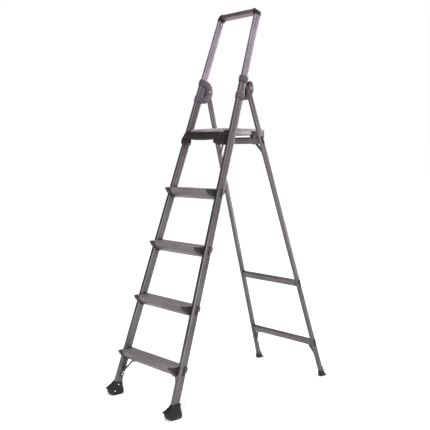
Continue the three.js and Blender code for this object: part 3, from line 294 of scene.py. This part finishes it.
# %% Steel
def plated_steel(name, bright, stained, rough):
    shop = Shop(name)
    marks = shop.noise(1500)
    stain = shop.noise(90, detail=3)
    tone = shop.mix(stain.step(0.4, 0.7), bright, stained)
    gloss = rough + 0.16 * (marks - 0.5) + 0.12 * (stain - 0.5)
    return shop.finish(Base_Color=tone, Roughness=gloss.clamp(), Metallic=0.9,
                       Normal=shop.bump(marks, 0.08, MARK_DEPTH))


pin_steel = plated_steel("zinc pins", linear(128, 122, 125), linear(96, 90, 94), 0.4)
rivet_steel = plated_steel("bright rivets", linear(226, 223, 220), linear(180, 176, 172), 0.3)
print("steel:", pin_steel.name, rivet_steel.name)

# %% [markdown]
# A CAD solid has knife-sharp edges, and real edges catch light. A copy of each solid is merged into
# one surface, its flat regions are joined into single faces, and a Bevel modifier rounds what is
# left. The copy takes the solid's place in the render, and the solid stays behind it for physics.

# %% Rounded copies
MERGE_DISTANCE = 2e-6
FLAT_ANGLE = math.radians(0.4)  # faces that meet at less than this are joined
ROUND_ANGLE = math.radians(28)  # edges that turn by more than this are rounded
SHARP_ANGLE = math.radians(34)  # edges that turn by more than this stay crisp in the shading
EDGE_SEGMENTS = 2


def linked(name, data):
    """A new object in the scene."""
    made = bpy.data.objects.new(name, data)
    bpy.context.scene.collection.objects.link(made)
    return made


def body_of(node):
    bodies = frame["record"]["behaviour"]["bodies"]
    return next(body for body, members in bodies.items() if node in members)


def merged_copy(node):
    bm = bmesh.new()
    bm.from_mesh(frame["nodes"][node].data)
    bmesh.ops.remove_doubles(bm, verts=bm.verts, dist=MERGE_DISTANCE)
    bmesh.ops.dissolve_limit(bm, angle_limit=FLAT_ANGLE, verts=bm.verts, edges=bm.edges)
    return bm


def place_piece(name, mesh, material, body):
    """Links a finished mesh as a piece that moves with a body of the ladder."""
    mesh.materials.clear()
    mesh.materials.append(material)
    piece = linked(name, mesh)
    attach(piece, body)
    return piece


def baked(piece):
    """The mesh that a piece's modifiers give, without the modifiers."""
    bpy.context.view_layer.update()
    graph = bpy.context.evaluated_depsgraph_get()
    mesh = bpy.data.meshes.new_from_object(piece.evaluated_get(graph), depsgraph=graph)
    bpy.data.objects.remove(piece)
    return mesh


def rounded(node, material, radius):
    bm = merged_copy(node)
    mesh = bpy.data.meshes.new(node)
    bm.to_mesh(mesh)
    bm.free()
    draft = linked("draft", mesh)
    bevel = draft.modifiers.new("edge", "BEVEL")
    bevel.width = radius
    bevel.segments = EDGE_SEGMENTS
    bevel.limit_method = "ANGLE"
    bevel.angle_limit = ROUND_ANGLE
    bevel.harden_normals = False
    finished = baked(draft)
    finished.shade_smooth()
    finished.set_sharp_from_angle(angle=SHARP_ANGLE)
    piece = place_piece(node + "_shown", finished, material, body_of(node))
    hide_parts(node)
    return piece


print("rounding ready for", len(frame["nodes"]), "solids")

# %% [markdown]
# Most pieces need nothing more than rounded edges and the right finish, so a table says which.

# %% Finish of each family of pieces
FAMILIES = [  # start of the name, finish, and radius of the rounded edges in metres
    ("front_stile", stile_metal, 0.0006),
    ("guard_post", post_metal_painted_light, 0.0006),
    ("guard_top_bar", top_metal, 0.0006),
    ("guard_corner", black_plastic, 0.0015),
    ("tread_cap", black_plastic, 0.0006),
    ("tread_", tread_metal, 0.0005),
    ("platform_front_moulding", black_plastic, 0.0008),
    ("platform_bracket", black_plastic, 0.0015),
    ("platform_rail", rail_metal, 0.0008),
    ("platform_hook", black_plastic, 0.0008),
    ("platform_pivot_pin", pin_steel, 0.0006),
    ("hinge_bracket", hinge_plastic, 0.0009),
    ("hinge_pin", pin_steel, 0.0006),
    ("rear_hinge_knuckle", hinge_plastic, 0.0009),
    ("rear_leg", leg_metal, 0.0006),
    ("rear_bar_end", black_plastic, 0.0006),
    ("rear_bar", bar_metal, 0.0006),
    ("front_brace", strap_metal, 0.0005),
    ("rear_upper_brace", strap_metal, 0.0005),
    ("rear_lower_brace", strap_metal, 0.0005),
    ("front_foot", boot_rubber, 0.002),
    ("rear_foot", boot_rubber, 0.0012),
    ("platform_deck", deck_plastic, 0.0008),
]

shown = {}
for node in sorted(frame["nodes"]):
    material, radius = next((m, r) for stem, m, r in FAMILIES if node.startswith(stem))
    shown[node] = rounded(node, material, radius)
print("rounded pieces:", len(shown), "triangles:",
      sum(len(p.data.polygons) for p in shown.values()))

# %% [markdown]
# Anything that repeats is set out by Geometry Nodes: a small shape is placed on every point of a
# mesh, turned to face the way that the point says, and the copies are joined and given a material.
# The tree is built once, with named inputs, and serves the rivets and the teeth of the treads.

# %% A tree that places copies
def copies_tree():
    tree = bpy.data.node_groups.new("copies on points", "GeometryNodeTree")
    sockets = [("Points", "NodeSocketGeometry"), ("Shape", "NodeSocketObject"),
               ("Size", "NodeSocketFloat"), ("Turn", "NodeSocketFloat"),
               ("Seed", "NodeSocketInt"), ("Material", "NodeSocketMaterial")]
    for name, kind in sockets:
        tree.interface.new_socket(name, in_out="INPUT", socket_type=kind)
    tree.interface.new_socket("Geometry", in_out="OUTPUT", socket_type="NodeSocketGeometry")

    def node(kind, **settings):
        made = tree.nodes.new(kind)
        for key, setting in settings.items():
            setattr(made, key, setting)
        return made

    given, result = node("NodeGroupInput"), node("NodeGroupOutput")
    shape = node("GeometryNodeObjectInfo")
    facing = node("GeometryNodeInputNamedAttribute", data_type="FLOAT_VECTOR")
    facing.inputs["Name"].default_value = "facing"
    aim = node("FunctionNodeAlignRotationToVector", axis="Z")
    spread = node("FunctionNodeRandomValue", data_type="FLOAT")
    spin = node("ShaderNodeCombineXYZ")
    place = node("GeometryNodeInstanceOnPoints")
    turn = node("GeometryNodeRotateInstances")
    whole, paint = node("GeometryNodeRealizeInstances"), node("GeometryNodeSetMaterial")
    floats = [socket for socket in spread.inputs if socket.type == "VALUE" and socket.enabled]
    links = [
        (given.outputs["Shape"], shape.inputs["Object"]),
        (facing.outputs["Attribute"], aim.inputs["Vector"]),
        (given.outputs["Points"], place.inputs["Points"]),
        (shape.outputs["Geometry"], place.inputs["Instance"]),
        (aim.outputs["Rotation"], place.inputs["Rotation"]),
        (given.outputs["Size"], place.inputs["Scale"]),
        (given.outputs["Turn"], floats[1]),
        (given.outputs["Seed"], spread.inputs["Seed"]),
        (next(o for o in spread.outputs if o.enabled), spin.inputs["Z"]),
        (place.outputs["Instances"], turn.inputs["Instances"]),
        (spin.outputs["Vector"], turn.inputs["Rotation"]),
        (turn.outputs["Instances"], whole.inputs["Geometry"]),
        (whole.outputs["Geometry"], paint.inputs["Geometry"]),
        (given.outputs["Material"], paint.inputs["Material"]),
        (paint.outputs["Geometry"], result.inputs["Geometry"]),
    ]
    for start, end in links:
        tree.links.new(start, end)
    return tree


SEED = 7


def set_out(name, shape, points, size, turn, material, body):
    """Copies of a shape on (place, facing) pairs, as one piece of the body."""
    mesh = bpy.data.meshes.new("points")
    mesh.from_pydata([tuple(place) for place, _ in points], [], [])
    facing = mesh.attributes.new("facing", "FLOAT_VECTOR", "POINT")
    for i, (_, normal) in enumerate(points):
        facing.data[i].vector = normal
    draft = linked("draft", mesh)
    modifier = draft.modifiers.new("copies", "NODES")
    modifier.node_group = COPIES
    given = {"Shape": shape, "Size": size, "Turn": turn, "Seed": SEED, "Material": material}
    for item in COPIES.interface.items_tree:
        if item.in_out == "INPUT" and item.name in given:
            modifier[item.identifier] = given[item.name]
    finished = baked(draft)
    place_piece(name, finished, material, body)
    print(name, len(points), "copies,", len(finished.polygons), "faces")


COPIES = copies_tree()
print("tree:", COPIES.name, [item.name for item in COPIES.interface.items_tree])

# %% [markdown]
# A blind rivet is pulled from one side: its head is a low dome with a dimple where the stem broke
# off. The dome is turned from a short profile, one unit in radius, and the tree scales it.

# %% A rivet's head
RIM_ANGLE = math.radians(50)  # edges of the head that turn by more than this look sharp
RIVET_SIDES = 14


def turned(name, profile, sides):
    """A closed shape turned round Z from (radius, height) pairs, bottom first."""
    bm = bmesh.new()
    rings = []
    for radius, height in profile:
        spots = [(radius * math.cos(math.tau * i / sides), radius * math.sin(math.tau * i / sides))
                 for i in range(sides)]
        rings.append([bm.verts.new((x, y, height)) for x, y in spots])
    for low, high in zip(rings, rings[1:]):
        for i in range(sides):
            k = (i + 1) % sides
            bm.faces.new((low[i], low[k], high[k], high[i]))
    bm.faces.new(list(reversed(rings[0])))
    bm.faces.new(rings[-1])
    mesh = bpy.data.meshes.new(name)
    bm.to_mesh(mesh)
    bm.free()
    mesh.shade_smooth()
    mesh.set_sharp_from_angle(angle=RIM_ANGLE)
    return mesh


DOME = [(1.0, -0.06), (1.0, 0.08), (0.86, 0.26), (0.62, 0.36), (0.36, 0.38), (0.28, 0.22)]
rivet_shape = linked("rivet", turned("rivet", DOME, RIVET_SIDES))  # removed once it has been copied
print("rivet head:", len(rivet_shape.data.polygons), "faces")

# %% [markdown]
# To seat a rivet, a line is sent from inside or outside the ladder onto the solid that it holds. The
# line's end gives the rivet's place, and the surface there says which way it faces.

# %% Where the rivets sit
FRONT_RIVET, REAR_RIVET = 0.0034, 0.0032  # radii
STRAP_HALF_WIDTH = 0.007
STRAP_LIFTS = (0.007, 0.017)  # above the foot of a strap
HEAD_INSET = 0.01  # from a strap's inner edge to the rivet in its head
RUN_UP = 0.02  # how far below a strap the line that seats its head's rivet starts
BOOT_SPOTS = ((0.046, 0.002), (0.021, 0.018))  # above the floor, and forward of the stile's middle
BRACKET_LIFTS = (0.014, 0.032)  # above the bottom of a platform bracket
POST_DROP = 0.016  # below the top of a guard post
END_BAND = 0.014  # a leaning tube's end lies within this height


def seat(node, start, direction):
    bm = merged_copy(node)
    place, normal, _, _ = BVHTree.FromBMesh(bm).ray_cast(Vector(start), Vector(direction).normalized())
    bm.free()
    return place, normal


def end_middle(node, top):
    """The middle of a leaning tube's upper or lower end."""
    spots = [v.co for v in frame["nodes"][node].data.vertices]
    limit = max(v.z for v in spots) if top else min(v.z for v in spots)
    ring = [v for v in spots if abs(v.z - limit) < END_BAND]
    low = Vector([min(v[i] for v in ring) for i in range(3)])
    return (low + Vector([max(v[i] for v in ring) for i in range(3)])) / 2


def tube_middle(node, z):
    low, high = end_middle(node, False), end_middle(node, True)
    return low.lerp(high, (z - low.z) / (high.z - low.z))


def strap_rivets(node, side, up):
    """Two rivets through a strap's foot and one through its head; up is 1 where it rises rearward."""
    low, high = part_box(node)
    half = STRAP_HALF_WIDTH
    ends = (low.y + half, high.y - half) if up > 0 else (high.y - half, low.y + half)
    rivets = []
    for lift in STRAP_LIFTS:
        share = lift / (high.z - low.z)
        y = ends[0] + share * (ends[1] - ends[0])
        rivets.append(seat(node, (0, y, low.z + lift), (side, 0, 0)))
    inner = low.x if side > 0 else high.x
    rivets.append(seat(node, (inner + side * HEAD_INSET, ends[1], low.z - RUN_UP), (0, 0, 1)))
    return rivets


front, rear = [], []
for word, side in (("left", -1), ("right", 1)):
    front += strap_rivets(f"front_brace_{word}", side, 1)
    rear += strap_rivets(f"rear_lower_brace_{word}", side, -1)
    rear += strap_rivets(f"rear_upper_brace_{word}", side, -1)
    stile, boot, bracket = f"front_stile_{word}", f"front_foot_{word}", f"platform_bracket_{word}"
    for height, forward in BOOT_SPOTS:
        middle = tube_middle(stile, height)
        front.append(seat(boot, (0, middle.y - forward, height), (side, 0, 0)))
    low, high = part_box(bracket)
    for lift in BRACKET_LIFTS:
        middle = tube_middle(stile, low.z + lift)
        front.append(seat(bracket, (0, middle.y, middle.z), (side, 0, 0)))
    post = f"guard_post_{word}"
    middle = tube_middle(post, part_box(post)[1].z - POST_DROP)
    front.append(seat(post, (0, middle.y, middle.z), (side, 0, 0)))
front = [spot for spot in front if spot[0] is not None]
rear = [spot for spot in rear if spot[0] is not None]
set_out("rivets_front", rivet_shape, front, FRONT_RIVET, math.tau, rivet_steel, "front_frame")
set_out("rivets_rear", rivet_shape, rear, REAR_RIVET, math.tau, rivet_steel, "rear_frame")
bpy.data.objects.remove(rivet_shape)

# %% [markdown]
# A tread is an extrusion, so its grooves run its whole length. Its ridges are knurled afterwards so
# that a wet sole does not slide along them: low teeth set across each ridge.

# %% Teeth along the treads' ridges
FIRST_RIDGE = FIRST_GROOVE + GROOVE_PITCH / 2
TREADS = 4
RIDGES = 6
TOOTH_PITCH = 0.0055
TOOTHLESS = 0.03  # length of a ridge that has no teeth, both ends together
MILLIMETRE = 0.001


def tooth(name):
    """A low tent across a ridge, on a base sunk into it, in millimetres."""
    half, length, height, sunk, slope = 0.9, 1.7, 0.55, -0.1, 0.35
    corners = [(-half, -length, sunk), (half, -length, sunk), (half, length, sunk), (-half, length, sunk),
               (0, slope - length, height), (0, length - slope, height)]
    mesh = bpy.data.meshes.new(name)
    mesh.from_pydata(corners, [], [(3, 2, 1, 0), (0, 1, 4), (2, 3, 5), (1, 2, 5, 4), (3, 0, 4, 5)])
    return mesh


tooth_shape = linked("tooth", tooth("tooth"))  # removed once it has been copied
spots = []
for number in range(1, TREADS + 1):
    low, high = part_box(f"tread_{number}")
    count = int((high.x - low.x - TOOTHLESS) / TOOTH_PITCH)
    for ridge in range(RIDGES):
        y = high.y - FIRST_RIDGE - ridge * GROOVE_PITCH
        start = -(count - 1) * TOOTH_PITCH / 2
        spots += [((start + i * TOOTH_PITCH, y, high.z), (0, 0, 1)) for i in range(count)]
set_out("tread_teeth", tooth_shape, spots, MILLIMETRE, 0.0, tread_metal, "front_frame")
bpy.data.objects.remove(tooth_shape)

# %% [markdown]
# The camera stands to the right of the ladder and a little below the platform, 49 degrees round from
# straight in front of it. Its lens takes in the whole ladder from three and a half metres away.

# %% Camera
LENS = 61.53  # millimetres, for a sensor 36 mm wide
EYE_RIGHT, EYE_FORWARD, EYE_HEIGHT = 2.61904, 2.35077, 1.10791  # from the middle, hinge and floor
LOOK_DOWN, LOOK_LEFT = 4.623, 49.027  # degrees
hinge_y = (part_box("hinge_pin_left")[0].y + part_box("hinge_pin_left")[1].y) / 2
camera = bpy.data.cameras.new("camera")
camera.lens = LENS
camera.sensor_width = 36
eye = linked("camera", camera)
eye.location = (EYE_RIGHT, hinge_y - EYE_FORWARD, EYE_HEIGHT)
eye.rotation_euler = (math.radians(90 - LOOK_DOWN), 0, math.radians(LOOK_LEFT))
bpy.context.scene.camera = eye
print("camera at", tuple(round(v, 3) for v in eye.location))

# %% [markdown]
# A plain pale floor and a soft overhead light. Metal shows what surrounds it, so the room is darker
# in front of the ladder than behind it: the tubes' front faces mirror the dark side and their outer
# faces the bright one. A narrow panel in front draws a line down the rounded corners, and one behind
# lights their rear edges. The backdrop is plain white, and only the camera sees it.

# %% Floor and light
FLOOR_HALF = 40
FLOOR_DROP = 0.0005  # keeps the floor clear of the boots
BRIGHT_SIDE = (0.35, 0.92, 0.15)  # the way to the room's bright side
LADDER_MIDDLE = (0, 0, 0.9)
SUN_POWER, SUN_SPREAD = 2.75, 80


def floor_material():
    shop = Shop("pale floor")
    soft = shop.noise(3)
    tone = shop.mix(soft, linear(250, 250, 250), linear(253, 253, 253))
    return shop.finish(Base_Color=tone, Roughness=0.9 + 0.02 * soft)


def add_floor():
    bm = bmesh.new()
    bmesh.ops.create_grid(bm, x_segments=2, y_segments=2, size=FLOOR_HALF)
    bmesh.ops.translate(bm, verts=bm.verts, vec=(0, 0, -FLOOR_DROP))
    mesh = bpy.data.meshes.new("floor")
    bm.to_mesh(mesh)
    bm.free()
    mesh.materials.append(floor_material())
    linked("floor", mesh)


def add_panel(name, place, target, size, power):
    lamp = bpy.data.lights.new(name, "AREA")
    lamp.shape = "RECTANGLE"
    lamp.size, lamp.size_y = size
    lamp.energy = power
    panel = linked(name, lamp)
    panel.location = place
    direction = Vector(target) - Vector(place)
    panel.rotation_euler = direction.to_track_quat("-Z", "Y").to_euler()


add_floor()
world = bpy.data.worlds.new("room")
world.use_nodes = True
tree = world.node_tree
backdrop = tree.nodes["Background"]
backdrop.inputs["Color"].default_value = (1, 1, 1, 1)
backdrop.inputs["Strength"].default_value = 1.0
walls = tree.nodes.new("ShaderNodeBackground")
walls.inputs["Color"].default_value = (1, 0.97, 0.98, 1)
where = tree.nodes.new("ShaderNodeTexCoord")
toward = tree.nodes.new("ShaderNodeVectorMath")
toward.operation = "DOT_PRODUCT"
toward.inputs[1].default_value = BRIGHT_SIDE
fade = tree.nodes.new("ShaderNodeMapRange")
fade.interpolation_type = "SMOOTHSTEP"
for socket, value in (("From Min", -0.9), ("From Max", 0.9), ("To Min", 0.10), ("To Max", 0.62)):
    fade.inputs[socket].default_value = value
tree.links.new(where.outputs["Generated"], toward.inputs[0])
tree.links.new(toward.outputs["Value"], fade.inputs["Value"])
tree.links.new(fade.outputs["Result"], walls.inputs["Strength"])
path = tree.nodes.new("ShaderNodeLightPath")
choice = tree.nodes.new("ShaderNodeMixShader")
tree.links.new(path.outputs["Is Camera Ray"], choice.inputs[0])
tree.links.new(walls.outputs[0], choice.inputs[1])
tree.links.new(backdrop.outputs[0], choice.inputs[2])
tree.links.new(choice.outputs[0], tree.nodes["World Output"].inputs["Surface"])
bpy.context.scene.world = world
bpy.context.scene.view_settings.view_transform = "Standard"

sky = bpy.data.lights.new("overhead", "SUN")
sky.energy = SUN_POWER
sky.angle = math.radians(SUN_SPREAD)
overhead = linked("overhead", sky)
overhead.rotation_euler = (math.radians(12), math.radians(10), 0)
add_panel("front", (3.4, -3.9, 1.5), LADDER_MIDDLE, (0.35, 3.6), 260)
add_panel("rim", (0.9, 4.2, 1.5), LADDER_MIDDLE, (0.9, 3.0), 150)
